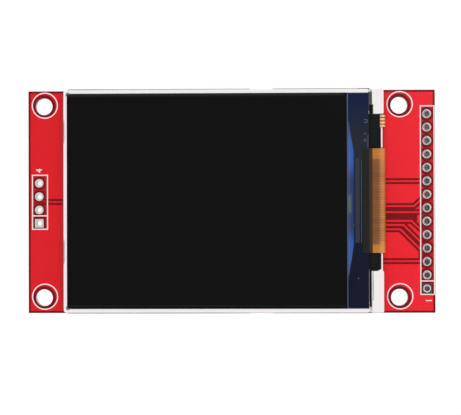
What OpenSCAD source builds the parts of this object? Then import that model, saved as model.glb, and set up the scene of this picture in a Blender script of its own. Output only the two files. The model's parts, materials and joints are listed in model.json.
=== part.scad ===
// TFT display module: a colour display panel on a red circuit board with a
// 14-pin header, a card header row and a memory card socket on the back.
// Millimetres. The origin is the middle of the four mounting holes, on the
// board's back face. +Z points out of the display, +X from the card header
// to the pin header.

/* [Circuit board] */
// Length of the board beyond the display's right end
board_end_l = 9.92; // [9:0.1:20]
// Width of the board beyond the display on each side
board_side_w = 0; // [0:0.1:8]
// Thickness of the board with its copper and mask
board_t = 1.6; // [1:0.1:2.4]
// Height of the masked copper above the bare laminate
relief_t = 0.04; // [0.02:0.01:0.08]
// Bare margin between the copper and the board's edge
pour_edge = 0.4; // [0.2:0.1:0.8]
// Gap between the copper and the traces and pads in it
clearance = 0.4; // [0.2:0.05:0.45]
// Width of a trace
trace_w = 0.34; // [0.2:0.02:0.5]
// Thickness of the printed legend
legend_t = 0.03; // [0.02:0.01:0.08]
// Width of a printed line
legend_line = 0.22; // [0.12:0.02:0.4]
// How far the print lies off the holes along X
legend_slip_x = 0.14; // [0:0.02:0.2]
// How far the print lies off the holes along Y
legend_slip_y = 0.2; // [0:0.02:0.24]

/* [Mounting holes] */
// Diameter of a mounting hole
hole_d = 3.2; // [2.5:0.1:3.6]
// Distance from the left holes to the board's left end
hole_start = 3; // [2.8:0.1:3.4]
// Distance from a hole to the board's side
hole_side = 2.92; // [2.8:0.02:3.4]
// Distance from the right holes to the board's right end
hole_end = 6.78; // [6.6:0.1:7.2]
// Diameter of the bare ring round a hole
hole_bare_d = 4.4; // [3.8:0.1:4.5]
// Outer diameter of the printed circle round a hole
hole_ring_d = 5; // [4.8:0.1:5.2]

/* [Pin header] */
// Number of header pins
header_pins = 14; // [8:1:15]
// Distance between neighbouring pins
pin_pitch = 2.54; // [2.3:0.02:2.6]
// Distance from the pin row to the board's right end
header_edge = 1.6; // [1.5:0.05:2]
// Side of a square pin
pin_w = 0.64; // [0.5:0.02:0.7]
// Length of a pin below the plastic strip
pin_drop = 6; // [3:0.5:12]
// Length of a pin above the board
pin_rise = 0.85; // [0.6:0.05:1.2]
// Length of a pin's pointed end
pin_point = 0.3; // [0.2:0.05:0.5]
// Height of the plastic strip
strip_h = 2.5; // [2:0.1:4]
// Width of the plastic strip
strip_w = 2.5; // [2:0.1:2.8]
// Depth of the notches between the cells of the strip
strip_notch = 0.35; // [0.2:0.05:0.6]
// Diameter of a drilled pin hole
pin_hole_d = 1.04; // [1:0.02:1.2]
// Diameter of a pad
pin_pad_d = 1.8; // [1.5:0.05:1.9]
// Height of a solder joint
joint_h = 0.7; // [0.5:0.05:0.8]

/* [Card header holes] */
// Number of holes in the card header row
card_pins = 4; // [3:1:6]
// Distance from the row to the board's left end
card_edge = 2.05; // [1.8:0.05:2.2]
// Position of the row's middle across the board
card_y = -0.21; // [-1:0.01:1]
// Diameter of a plated hole
card_hole_d = 1; // [0.9:0.02:1.1]
// Thickness of the plating in a hole
plating_t = 0.05; // [0.03:0.01:0.08]
// Diameter of a pad
card_pad_d = 1.64; // [1.5:0.02:1.8]
// Height of a tinned pad above the board
pad_rise = 0.05; // [0.03:0.01:0.1]

/* [Display] */
// Length of the display
display_l = 60.26; // [59.8:0.1:60.6]
// Width of the display
display_w = 42.2; // [42:0.1:44]
// Distance from the board's left end to the display
display_edge = 7; // [6:0.1:7.4]
// Offset of the display across the board
display_shift = 0.1; // [-0.3:0.05:0.3]
// Thickness of the foam mounting tape
foam_t = 1.2; // [0.9:0.1:1.8]
// Thickness of the steel tray
tray_t = 0.15; // [0.1:0.01:0.2]
// Height of the tray's walls
tray_h = 1.7; // [1.5:0.05:2]
// Thickness of the reflector sheet
reflector_t = 0.1; // [0.05:0.01:0.2]
// Thickness of the light guide
guide_t = 0.65; // [0.6:0.05:1]
// Thickness of the diffuser sheet
diffuser_t = 0.1; // [0.05:0.01:0.2]
// Thickness of one prism sheet
prism_t = 0.07; // [0.05:0.01:0.15]
// Thickness of the rim tape that holds the glass
rim_tape_t = 0.06; // [0.04:0.01:0.1]
// Thickness of a polariser
polariser_t = 0.15; // [0.1:0.01:0.2]
// Thickness of each glass
glass_t = 0.4; // [0.3:0.05:0.7]
// Depth of the frame's top below the front polariser
frame_sink = 0.15; // [0.05:0.05:0.3]
// Radius of the frame's and the tray's corners
frame_corner = 0.5; // [0.3:0.1:0.8]

/* [Glass outline] */
// Distance from the display's left end to the glass
glass_edge = 0.85; // [0.8:0.05:1]
// Distance from the display's sides to the glass
glass_border = 0.94; // [0.8:0.01:1.2]
// Distance from the TFT glass to the display's right end
well_l = 2.76; // [2.7:0.02:3]
// Length of the TFT glass's bare ledge
ledge_l = 3.9; // [3.8:0.05:4.2]
// Distance from the colour filter's edge to the polariser's
polariser_edge = 0.6; // [0.2:0.1:2]
// Width of the bead along the colour filter's edge
bead_w = 1.15; // [0.6:0.05:1.2]
// Length of the bead, with its drawn-out ends
bead_l = 29; // [20:0.5:32]
// Width of the driver chip
chip_w = 0.8; // [0.6:0.05:1]
// Length of the driver chip
chip_l = 15.8; // [12:0.1:20]
// Thickness of the driver chip
chip_t = 0.28; // [0.2:0.02:0.36]
// Distance from the colour filter's edge to the chip
chip_gap = 1.35; // [1.25:0.05:1.5]

/* [Display tail] */
// Width of the tail
tail_w = 19.6; // [18:0.1:20]
// Thickness of the tail
tail_t = 0.1; // [0.08:0.01:0.14]
// How far the tail's bend stands off the display's end
tail_out = 0.45; // [0.4:0.05:0.7]
// Length of the tail bonded on the glass
tail_bond = 1.2; // [0.9:0.05:1.3]
// Length of the tail's straight run under the display
tail_run = 7; // [5:0.5:9]
// Number of raised conductors on the tail
tail_lines = 25; // [15:2:31]
// Distance between conductors
tail_line_pitch = 0.61; // [0.5:0.01:0.64]
// Height of a raised conductor
tail_line_t = 0.02; // [0.01:0.01:0.03]
// Height of the solder under the tail
tail_solder_t = 0.08; // [0.05:0.01:0.12]

/* [Backlight] */
// Thickness of the strip that carries the lamps
lamp_strip_t = 0.1; // [0.08:0.01:0.12]
// Width of the strip's tab with its contact pads
tab_w = 2.5; // [2:0.1:2.8]
// Distance from the display's upper side to the middle of the tab
tab_edge = 6.1; // [6.05:0.05:6.4]
// Number of lamps
led_count = 4; // [3:1:6]
// Length of a lamp
led_l = 3.8; // [2.5:0.1:4.5]
// Depth of a lamp
led_w = 0.95; // [0.7:0.05:1]
// Height of a lamp
led_h = 0.6; // [0.4:0.05:0.6]

/* [Card socket] */
// Length of the socket
socket_l = 28; // [26:0.5:30]
// Width of the socket
socket_w = 26.6; // [26:0.1:30]
// Height of the socket
socket_h = 2.8; // [2.7:0.05:3.6]
// Distance from the board's left end to the socket's mouth
socket_edge = 5.2; // [4.6:0.1:7]
// Width of the card slot
slot_w = 24.3; // [24.1:0.1:24.6]
// Height of the card slot
slot_h = 2.2; // [2.15:0.05:2.3]
// Thickness of the socket's steel
shell_t = 0.2; // [0.15:0.01:0.25]
// Number of card contacts
contact_count = 9; // [7:1:9]
// Distance between card contacts
contact_pitch = 2.5; // [2.4:0.05:2.6]
// Width of a card contact
contact_w = 0.9; // [0.6:0.05:1.1]
// Thickness of a card contact
contact_t = 0.15; // [0.1:0.01:0.18]
// Length of the spring tongues in the shell
tongue_l = 11; // [7:0.5:14]

/* [Small parts] */
// Length of a three-legged package
sot_l = 2.9; // [2.6:0.1:3.2]
// Width of a three-legged package's body
sot_w = 1.3; // [1.2:0.1:1.5]
// Height of a three-legged package
sot_h = 1.1; // [0.9:0.1:1.3]
// Length of a chip resistor or capacitor
chip_part_l = 1.6; // [1.4:0.1:1.8]
// Width of a chip resistor or capacitor
chip_part_w = 0.8; // [0.7:0.05:0.9]
// Height of a chip resistor
resistor_h = 0.45; // [0.35:0.05:0.6]
// Height of a chip capacitor
capacitor_h = 0.8; // [0.6:0.05:0.9]

/* [Hidden] */

// Overshoot of a cutting tool past the faces it cuts
cut = 0.5;
// Smoothness of holes and pads
hole_fn = 48;

// Board outline, from the middle of the mounting holes
board_l = display_edge + display_l + board_end_l;
board_w = display_w + 2 * board_side_w;
hole_pitch_x = board_l - hole_start - hole_end;
hole_pitch_y = board_w - 2 * hole_side;
board_left = -hole_pitch_x / 2 - hole_start;
board_right = board_left + board_l;
header_x = board_right - header_edge;
header_half = (header_pins - 1) * pin_pitch / 2;
joint_edge = 0.06;
joint_neck = 0.75 * pin_w;
card_x = board_left + card_edge;
card_half = (card_pins - 1) * pin_pitch / 2;

// Display heights, from the tray's underside
guide_z = tray_t + reflector_t;
diffuser_z = guide_z + guide_t;
lower_prism_z = diffuser_z + diffuser_t;
upper_prism_z = lower_prism_z + prism_t;
rim_z = upper_prism_z + prism_t;
rear_polariser_z = rim_z + rim_tape_t;
tft_z = rear_polariser_z + polariser_t;
filter_z = tft_z + glass_t;
front_polariser_z = filter_z + glass_t;
display_t = front_polariser_z + polariser_t;
frame_h = display_t - frame_sink;

// Display outline, from its left end and middle line
display_x = board_left + display_edge;
display_z = board_t + foam_t;
frame_fit = 0.1;
display_side = display_w / 2;
frame_end = display_l - 0.2;
frame_side = display_side - tray_t;
glass_end = display_l - well_l;
glass_side = display_side - glass_border;
tft_l = glass_end - glass_edge;
filter_l = tft_l - ledge_l;
polariser_l = filter_l - polariser_edge;
ring_end = glass_end + frame_fit;
film_edge = glass_edge + 0.35;
film_side = glass_side - 0.4;
film_end = glass_end - 2.2;
lamp_x = film_end + 1;
frame_floor = diffuser_z + lamp_strip_t;

// Well of the lamps and the tail at the display's right end
well_end = frame_end - 0.25;
well_top = display_side - 4.8;
well_bottom = 7.9 - display_side;
tab_y = display_side - tab_edge;
end_wall_low = 1.2;
gusset = 0.35;
block_l = 1.5;
block_step_l = 0.3;
top_step_y = well_top + 1.75;
bottom_step_y = well_bottom - 5.4;
tab_side = tab_w / 2 + 0.05;

// Tray: radius of its folds, ends of its walls and base
fold_r = 2 * tray_t;
tray_end = display_l - 0.4;
tray_corner = 0.9;
tray_lap = 2.2;
wall_gap = [display_l - 25.06, display_l - 20.76];

// Clips of the frame in the tray's windows
clip_x = [14.9, display_l - 13.26];
clip_y = [display_side - 8, 11.6 - display_side];
clip_l = 3;
clip_h = 0.6;
clip_root = 0.3;
clip_z = 0.75;
clip_slot_l = 4.2;
clip_slot_w = 0.18;

// Resin bead on the glass's ledge
bead_h = 0.85 * glass_t;
bead_y = 0.4;
bead_full = chip_l + 1;
bead_tip = 0.12;

// Rim tape, wider at the tail's end
rim_tape_w = 1.2;
rim_tape_end_w = 3.4;

// Tail, from its bond on the glass to its lands on the board
tail_top_z = filter_z + tail_t;
tail_start = glass_end - tail_bond;
tail_finish = bend_start(tail_top_z) - tail_run;
line_w = 0.55 * tail_line_pitch;
line_margin = 0.4;
tail_lands = 18;
land_pitch = 1;
land_w = 0.5;
land_l = 2;

// Tab of the lamp strip, and its contact pads
tab_top_z = frame_floor;
tab_finish = display_l - 4;
tab_pads = 4;
tab_pad_pitch = tab_w / tab_pads;
tab_pad_t = 0.03;
lamp_margin = 3;
shade_tape_t = 0.08;

// Foam tape under the tray
foam_w = 10;
foam_margin = 2.4;
foam_left = 1.5;
foam_right = tail_finish - foam_w - 4.2;

// Printed boxes round the pin rows
header_box_w = 2.58;
card_box_w = 2.86;

// Card socket, hanging from the board's back face
socket_x = board_left + socket_edge;
socket_end = socket_x + socket_l;
socket_side = socket_w / 2;
socket_floor = socket_h - shell_t - slot_h;
socket_block = 5.4;
shell_l = socket_l - 1.4;
shell_r = 2 * shell_t;
shell_edge_z = 0.3;
mouth_x = 0.6;
floor_x = 2.5;
contact_rise = 0.9;
contact_first = -contact_pitch * (contact_count - 1) / 2;
contact_tip_x = socket_l - socket_block - 5.5;
contact_bend_x = socket_l - socket_block - 4;
contact_root_x = socket_l - socket_block - 1;
tongue_x = 8;
tongue_y = 8.4;
tongue_w = 2;
tongue_gap = 0.6;
foot_l = 2;
foot_w = 0.9;

// Small parts on the back: beside the socket, beside the header, and the
// spare footprints half way between
end_w = 0.3;
back_mid = (socket_end + header_x) / 2;
near_header = header_x - 8.38;
regulator_at = [socket_end + 9, 9.5];
transistor_at = [socket_end + 10.5, -11.5];
resistor_places = concat(
    [for (y = [7.6, 9.8, 12]) [socket_end + 16, y]],
    [for (y = [6.6, 8.8, 11]) [near_header, y]],
    [for (y = [-15.2, -13]) [socket_end + 6, y]]
);
capacitor_places = [
    [socket_end + 4.5, 12.5], [socket_end + 4.5, 6.5], [socket_end + 14.5, -14.5],
    [back_mid + 3.31, -14], [near_header, -7]
];
spare_eight_at = [back_mid + 2.31, -4.295];
spare_sixteen_at = [back_mid + 3.31, 7.475];

// Traces that run from the display to the pins, as points along each one
function pin_y(index) = -header_half + index * pin_pitch;
trace_start = display_x + display_l - 3;
function trace_routes() = [
    [[trace_start, pin_y(8)], [header_x, pin_y(8)]],
    [[trace_start, -0.93], [header_x - 2.4, -0.93], [header_x, pin_y(7)]],
    [[trace_start, -2.07], [header_x - 1.1, -2.07], [header_x, pin_y(6)]],
    [[trace_start, -3.72], [header_x - 2.9, -3.72], [header_x, pin_y(4)]],
    [[trace_start, -4.48], [header_x - 4.4, -4.48], [header_x, pin_y(3)]],
    [[trace_start, -5.3], [header_x - 5, -5.3], [header_x - 1, -9.3], [header_x - 1, -11]],
    [[trace_start, -11.33], [header_x - 1, -11.33], [header_x, pin_y(2)]],
    [[card_x, card_y + pin_pitch / 2], [card_x + 1, 0.03], [display_x + 3, 0.03]]
];
// Bare strips where the copper between neighbouring traces is left out
bare_strips = [[[trace_start, -2.1], [header_x - 2.6, -0.95]], [[trace_start, -3.7], [header_x - 1.8, -2.1]]];
// Traces on the back, from the pins to the small parts
function back_routes() = [
    [[header_x, pin_y(0)], [header_x - 4, pin_y(0)], [header_x - 6, -14.5], [socket_end + 14.5, -14.5]],
    [[header_x, pin_y(10)], [near_header + 3.5, pin_y(10)], [near_header + 1.5, 8.8], [near_header, 8.8]],
    [[header_x, pin_y(11)], [near_header + 2.5, pin_y(11)], [near_header + 1, 11], [near_header, 11]],
    [[header_x, pin_y(5)], [near_header + 4.5, pin_y(5)], [near_header + 1.5, -7], [near_header, -7]],
    [regulator_at, [socket_end + 15, regulator_at[1]]],
    [[card_x, card_y - pin_pitch / 2], [card_x + 1.5, 0], [socket_x + 2, 0]]
];

// A block between two values along each axis
module slab(x, y, z) {
    translate([x[0], y[0], z[0]])
        cube([x[1] - x[0], y[1] - y[0], z[1] - z[0]]);
}

// A rectangle between two values along each axis, with round corners
module soft_square(x, y, r) {
    translate([x[0] + r, y[0]])
        square([x[1] - x[0] - 2 * r, y[1] - y[0]]);
    translate([x[0], y[0] + r])
        square([x[1] - x[0], y[1] - y[0] - 2 * r]);
    for (cx = [x[0] + r, x[1] - r], cy = [y[0] + r, y[1] - r])
        translate([cx, cy])
            circle(r = r, $fn = 24);
}

// A flat run of constant width through a list of points
module run(points, width) {
    for (i = [0 : len(points) - 2]) {
        step = points[i + 1] - points[i];
        translate(points[i])
            rotate(atan2(step[1], step[0]))
                translate([0, -width / 2])
                    square([norm(step), width]);
        translate(points[i])
            circle(d = width, $fn = 16);
    }
    translate(points[len(points) - 1])
        circle(d = width, $fn = 16);
}

// What follows, once at each mounting hole
module at_mounting_holes() {
    for (x = [-1, 1], y = [-1, 1])
        translate([x * hole_pitch_x / 2, y * hole_pitch_y / 2])
            children();
}

// What follows, once at each place of the pin row
module at_header_pins(first = 0) {
    for (i = [first : header_pins - 1])
        translate([header_x, -header_half + i * pin_pitch])
            children();
}

// What follows, once at each place of the card header row
module at_card_pins(first = 0) {
    for (i = [first : card_pins - 1])
        translate([card_x, card_y - card_half + i * pin_pitch])
            children();
}

// What follows, moved to the display's left end, middle line and underside
module on_display() {
    translate([display_x, display_shift, display_z])
        children();
}

// ---------------------------------------------------------------- board

// Outline of a pad row: a square at the first pin and circles at the others
module header_pads_2d(size) {
    translate([header_x, -header_half])
        square(size, center = true);
    at_header_pins(1)
        circle(d = size, $fn = hole_fn);
}

module card_pads_2d(size) {
    translate([card_x, card_y - card_half])
        square(size, center = true);
    at_card_pins(1)
        circle(d = size, $fn = hole_fn);
}

// Copper field of one face, with its clearances and the traces in it
module copper_2d(routes, strips) {
    difference() {
        translate([board_left + pour_edge, -board_w / 2 + pour_edge])
            square([board_l - 2 * pour_edge, board_w - 2 * pour_edge]);
        at_mounting_holes()
            circle(d = hole_bare_d, $fn = hole_fn);
        header_pads_2d(pin_pad_d + 2 * clearance);
        card_pads_2d(card_pad_d + 2 * clearance);
        for (route = routes)
            run(route, trace_w + 2 * clearance);
        for (strip = strips)
            translate(strip[0])
                square(strip[1] - strip[0]);
    }
    for (route = routes)
        run(route, trace_w);
}

module board_holes() {
    at_mounting_holes()
        translate([0, 0, -cut])
            cylinder(d = hole_d, h = board_t + 2 * cut, $fn = 64);
    at_header_pins()
        translate([0, 0, -cut])
            cylinder(d = pin_hole_d, h = board_t + 2 * cut, $fn = hole_fn);
    at_card_pins()
        translate([0, 0, -cut])
            cylinder(d = card_hole_d + 2 * plating_t, h = board_t + 2 * cut, $fn = hole_fn);
}

module circuit_board() {
    color("crimson")
        difference() {
            union() {
                slab([board_left, board_right], [-board_w / 2, board_w / 2], [relief_t, board_t - relief_t]);
                translate([0, 0, board_t - relief_t])
                    linear_extrude(relief_t)
                        copper_2d(trace_routes(), bare_strips);
                linear_extrude(relief_t)
                    copper_2d(back_routes(), []);
            }
            board_holes();
        }
}

// A printed box round a pin row, with a line above the first pin
module legend_box(x, y, width, count) {
    length = count * pin_pitch + 0.1;
    translate([x, y])
        difference() {
            square([width + legend_line, length + legend_line], center = true);
            square([width - legend_line, length - legend_line], center = true);
        }
    translate([x - width / 2, y - length / 2 + pin_pitch - legend_line / 2])
        square([width, legend_line]);
}

module front_legend() {
    color("white")
        translate([legend_slip_x, legend_slip_y, board_t])
            linear_extrude(legend_t) {
                at_mounting_holes()
                    difference() {
                        circle(d = hole_ring_d, $fn = 64);
                        circle(d = hole_ring_d - 2 * legend_line, $fn = 64);
                    }
                legend_box(header_x, 0, header_box_w, header_pins);
                legend_box(card_x, card_y, card_box_w, card_pins);
            }
}

module back_legend() {
    color("white")
        translate([0, 0, -legend_t])
            linear_extrude(legend_t) {
                at_mounting_holes()
                    difference() {
                        circle(d = hole_ring_d, $fn = 64);
                        circle(d = hole_ring_d - 2 * legend_line, $fn = 64);
                    }
                legend_box(card_x, card_y, card_box_w, card_pins);
                for (place = [regulator_at, transistor_at])
                    translate(place)
                        for (side = [-1, 1])
                            translate([side * (sot_l / 2 + 0.5) - legend_line / 2, -sot_w])
                                square([legend_line, 2 * sot_w]);
                for (place = concat(resistor_places, capacitor_places))
                    translate(place)
                        for (side = [-1, 1])
                            translate([-chip_part_l / 2, side * (chip_part_w / 2 + 0.4) - legend_line / 2])
                                square([chip_part_l, legend_line]);
            }
}

// Tinned rings on both faces, joined by the plating in the hole
module card_header_pads() {
    color("silver")
        difference() {
            union() {
                for (z = [-pad_rise, board_t])
                    translate([0, 0, z])
                        linear_extrude(pad_rise)
                            card_pads_2d(card_pad_d);
                at_card_pins()
                    cylinder(d = card_hole_d + 2 * plating_t, h = board_t, $fn = hole_fn);
            }
            at_card_pins()
                translate([0, 0, -cut])
                    cylinder(d = card_hole_d, h = board_t + 2 * cut, $fn = hole_fn);
        }
}

// Two facing rows of pads
module pad_rows(place, count, pitch, row_x, pad) {
    for (i = [-(count - 1) / 2 : (count - 1) / 2], side = [-1, 1])
        translate(place + [side * row_x, i * pitch])
            square(pad, center = true);
}

// Footprints on the back that carry no part: an eight-leg and a sixteen-leg one
module spare_pads() {
    color("silver")
        translate([0, 0, -pad_rise])
            linear_extrude(pad_rise) {
                pad_rows(spare_eight_at, 4, 1.27, 2.7, [1.6, 0.6]);
                pad_rows(spare_sixteen_at, 8, 0.65, 2.8, [1.3, 0.35]);
            }
}

// --------------------------------------------------------------- header

// Plastic strip of eight-sided cells, with a square hole for each pin
module header_base() {
    half = pin_pitch / 2;
    cell = [
        [-strip_w / 2, -half + strip_notch], [-strip_w / 2 + strip_notch, -half],
        [strip_w / 2 - strip_notch, -half], [strip_w / 2, -half + strip_notch],
        [strip_w / 2, half - strip_notch], [strip_w / 2 - strip_notch, half],
        [-strip_w / 2 + strip_notch, half], [-strip_w / 2, half - strip_notch]
    ];
    color("black")
        difference() {
            translate([0, 0, -strip_h])
                linear_extrude(strip_h)
                    difference() {
                        at_header_pins()
                            polygon(cell);
                        at_header_pins()
                            square(pin_w, center = true);
                    }
            // shallow channel that lets solder flux out under the strip
            slab([header_x - strip_w / 2 - cut, header_x - strip_w / 2 + 0.5],
                 [-header_half - pin_pitch, header_half + pin_pitch], [-0.2, cut]);
        }
}

// Outline of a pin seen from the side, pointed at both ends
function pin_outline() = [
    [-pin_w / 2, -strip_h - pin_drop + pin_point], [-pin_w / 4, -strip_h - pin_drop],
    [pin_w / 4, -strip_h - pin_drop], [pin_w / 2, -strip_h - pin_drop + pin_point],
    [pin_w / 2, board_t + pin_rise - pin_point], [pin_w / 4, board_t + pin_rise],
    [-pin_w / 4, board_t + pin_rise], [-pin_w / 2, board_t + pin_rise - pin_point]
];

module header_pin(index) {
    color("gold")
        translate([header_x, -header_half + index * pin_pitch])
            intersection() {
                rotate([90, 0, 0])
                    linear_extrude(pin_w, center = true)
                        polygon(pin_outline());
                rotate([90, 0, 90])
                    linear_extrude(pin_w, center = true)
                        polygon(pin_outline());
            }
}

// Solder cone with a hollow flank, over the plug of solder in the hole
function joint_flank(steps) = [
    for (i = [0 : steps])
        let (a = 90 * i / steps)
            [joint_neck + (pin_pad_d / 2 - joint_neck) * (1 - sin(a)),
             board_t + joint_edge + (joint_h - joint_edge) * (1 - cos(a))]
];

module solder_joint(square_pad) {
    difference() {
        union() {
            rotate_extrude($fn = hole_fn)
                polygon(concat(
                    [[0, 0], [pin_hole_d / 2, 0], [pin_hole_d / 2, board_t], [pin_pad_d / 2, board_t]],
                    joint_flank(5),
                    [[0, board_t + joint_h]]
                ));
            if (square_pad)
                translate([0, 0, board_t])
                    linear_extrude(2 * joint_edge)
                        square(pin_pad_d, center = true);
        }
        translate([-pin_w / 2, -pin_w / 2, -cut])
            cube([pin_w, pin_w, board_t + joint_h + 2 * cut]);
    }
}

module solder_joints() {
    color("lightgray") {
        at_header_pins(1)
            solder_joint(false);
        translate([header_x, -header_half])
            solder_joint(true);
    }
}

// -------------------------------------------------------------- display

// Places of the clips: [x, y, angle of the wall]
function clip_places() = concat(
    [for (x = clip_x, side = [-1, 1]) [x, side * display_side, side > 0 ? 90 : -90]],
    [for (y = clip_y) [0, y, 180]]
);

module at_clips() {
    for (place = clip_places())
        translate([place[0], place[1]])
            rotate(place[2])
                children();
}

// Section of a folded wall: a quarter bend and an upright leg
module fold_section(height) {
    difference() {
        intersection() {
            translate([fold_r, fold_r])
                circle(r = fold_r, $fn = 32);
            square(fold_r);
        }
        translate([fold_r, fold_r])
            circle(r = fold_r - tray_t, $fn = 32);
    }
    translate([0, fold_r])
        square([tray_t, height - fold_r]);
}

// A folded wall along a side, with the display's edge at x = 0
module fold_wall(from, to) {
    translate([0, from, 0])
        rotate([90, 0, 0])
            mirror([0, 0, 1])
                linear_extrude(to - from)
                    fold_section(tray_h);
}

// Steel tray: a base with folded walls on three sides and windows for the clips
module display_tray() {
    half = display_side;
    tail_side = tail_w / 2 + 0.5;
    color("gainsboro")
        on_display()
            difference() {
                union() {
                    linear_extrude(tray_t)
                        difference() {
                            soft_square([fold_r, tray_end], [fold_r - half, half - fold_r], frame_corner);
                            translate([tray_end - tray_lap, -tail_side])
                                square([tray_lap + cut, 2 * tail_side]);
                        }
                    fold_wall(tray_corner - half, half - tray_corner);
                    for (side = [-1, 1])
                        translate([0, side * half])
                            rotate(-side * 90)
                                mirror([0, side > 0 ? 0 : 1, 0]) {
                                    fold_wall(tray_corner, wall_gap[0]);
                                    fold_wall(wall_gap[1], tray_end - tray_lap);
                                }
                }
                at_clips()
                    slab([-2 * tray_t, tray_t], [-clip_l / 2 - 0.2, clip_l / 2 + 0.2],
                         [clip_z - 0.1, clip_z + clip_h + 0.1]);
            }
}

// Outer outline of the moulded frame, up to an x and inset from the tray
module frame_outline(to, inset = 0) {
    side = frame_side - inset;
    soft_square([tray_t + inset, to - inset], [-side, side], frame_corner);
}

// Full-height blocks at the display's tail end, with the step that clears
// the glass and the gusset of the end wall
module corner_blocks_2d() {
    soft = 0.2;
    soft_square([tray_end - block_l, display_l], [well_top, frame_side], soft);
    soft_square([tray_end - block_l - block_step_l, tray_end], [top_step_y, frame_side], soft);
    soft_square([tray_end - block_l, display_l], [-frame_side, well_bottom], soft);
    soft_square([tray_end - block_l - block_step_l, tray_end], [-frame_side, bottom_step_y], soft);
    polygon([
        [well_end - 2 * gusset, well_bottom], [well_end, well_bottom + gusset],
        [frame_end, well_bottom + gusset], [frame_end, well_bottom - gusset]
    ]);
}

// Opening of the films, up to an x
module film_window_2d(to) {
    side = film_side + frame_fit;
    soft_square([film_edge - frame_fit, to], [-side, side], 0.3);
}

// Pocket of the glass, with a round relief at each corner
module glass_pocket_2d() {
    left = glass_edge - frame_fit;
    side = glass_side + frame_fit;
    relief_r = 0.42;
    translate([left, -side])
        square([ring_end - left, 2 * side]);
    for (end = [-1, 1])
        translate([left + relief_r / 2, end * (side - relief_r / 2)])
            circle(r = relief_r, $fn = 24);
}

// Stepped ring of the moulded frame, in layers from the tray upwards
module frame_ring() {
    // foot, narrowed to clear the tray's folds
    translate([0, 0, tray_t])
        linear_extrude(fold_r - tray_t)
            difference() {
                frame_outline(frame_end, fold_r - tray_t);
                film_window_2d(glass_end);
            }
    // wall round the light guide
    translate([0, 0, fold_r])
        linear_extrude(diffuser_z - fold_r)
            difference() {
                frame_outline(frame_end);
                film_window_2d(glass_end);
            }
    // ledge under the glass, open over the lamps
    translate([0, 0, diffuser_z])
        linear_extrude(rim_z - diffuser_z)
            difference() {
                frame_outline(ring_end);
                film_window_2d(film_end + frame_fit);
                translate([film_end, 1 - film_side])
                    square([ring_end - film_end + cut, well_top + film_side - 1]);
            }
    // wall round the glass
    translate([0, 0, rim_z])
        linear_extrude(frame_h - rim_z)
            difference() {
                frame_outline(ring_end);
                glass_pocket_2d();
            }
}

// End wall, lower where the tail crosses it, and the floor beside the glass
module frame_end_wall() {
    tail_side = tail_w / 2 + 0.2;
    slab([well_end, frame_end], [well_bottom, tab_y - tab_side], [fold_r, end_wall_low]);
    for (y = [[well_bottom, -tail_side], [tail_side, tab_y - tab_side]])
        slab([well_end, frame_end], y, [fold_r, frame_h - 0.3]);
    for (y = [[well_top, frame_side], [-frame_side, well_bottom]])
        slab([glass_end, tray_end - block_l + cut / 2], y, [diffuser_z, frame_floor]);
}

// Moulded frame: a stepped ring that holds the films and the glass, clip
// barbs on its outside, and a well for the lamps and the tail at one end
module backlight_frame() {
    color("whitesmoke")
        on_display()
            difference() {
                union() {
                    frame_ring();
                    frame_end_wall();
                    translate([0, 0, tray_t])
                        linear_extrude(frame_h - tray_t)
                            corner_blocks_2d();
                    at_clips()
                        rotate([90, 0, 0])
                            linear_extrude(clip_l, center = true)
                                polygon([
                                    [-tray_t - clip_root, clip_z], [0.05, clip_z],
                                    [-tray_t, clip_z + clip_h], [-tray_t - clip_root, clip_z + clip_h]
                                ]);
                }
                // way out for the lamp strip's tab
                slab([bend_start(tab_top_z), display_l + cut], [tab_y - tab_side, tab_y + tab_side],
                     [0, frame_h]);
                // slots behind the tray's end wall at the clips
                for (y = clip_y)
                    slab([tray_t - cut, tray_t + clip_slot_w], [y - clip_slot_l / 2, y + clip_slot_l / 2],
                         [clip_z + clip_h + 0.1, frame_h + cut]);
            }
}

// A film or plate inside the frame, up to an x
module film(to, z, thickness) {
    on_display()
        slab([film_edge, to], [-film_side, film_side], [z, z + thickness]);
}

module reflector_sheet() {
    color("snow")
        film(glass_end - frame_fit, tray_t, reflector_t);
}

// Light guide with its edge in front of the lamps
module light_guide() {
    color("aliceblue")
        film(lamp_x, guide_z, guide_t);
}

module diffuser_sheet() {
    color("ivory")
        film(film_end, diffuser_z, diffuser_t);
}

module lower_prism_sheet() {
    color("lavender")
        film(film_end, lower_prism_z, prism_t);
}

module upper_prism_sheet() {
    color("lavender")
        film(film_end, upper_prism_z, prism_t);
}

// Black tape on the frame's ledge and the films' rim
module rim_tape() {
    color("black")
        on_display()
            difference() {
                slab([glass_edge, glass_end], [-glass_side, glass_side], [rim_z, rear_polariser_z]);
                slab([glass_edge + rim_tape_w, glass_end - rim_tape_end_w],
                     [rim_tape_w - glass_side, glass_side - rim_tape_w],
                     [rim_z - cut, rear_polariser_z + cut]);
            }
}

// A sheet of the glass stack, measured from the glass's left end
module stack_sheet(length, z, thickness) {
    on_display()
        slab([glass_edge, glass_edge + length], [-glass_side, glass_side], [z, z + thickness]);
}

module rear_polariser() {
    color("darkslategray")
        stack_sheet(tft_l, rear_polariser_z, polariser_t);
}

module tft_glass() {
    color("midnightblue")
        stack_sheet(tft_l, tft_z, glass_t);
}

module colour_filter_glass() {
    color("black")
        stack_sheet(filter_l, filter_z, glass_t);
}

module front_polariser() {
    color("black")
        stack_sheet(polariser_l, front_polariser_z, polariser_t);
}

// Bare driver chip on the ledge of the glass
module driver_chip() {
    color("slategray")
        on_display()
            slab([glass_edge + filter_l + chip_gap, glass_edge + filter_l + chip_gap + chip_w],
                 [-chip_l / 2, chip_l / 2], [filter_z, filter_z + chip_t]);
}

// Bead of sealing resin in the corner between the two glasses
function bead_outline(steps) = concat(
    [[0, 0]],
    [for (i = [0 : steps])
        let (a = 90 * i / steps)
            [bead_w * (1 - sin(a)), bead_h * (1 - cos(a))]]
);

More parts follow.
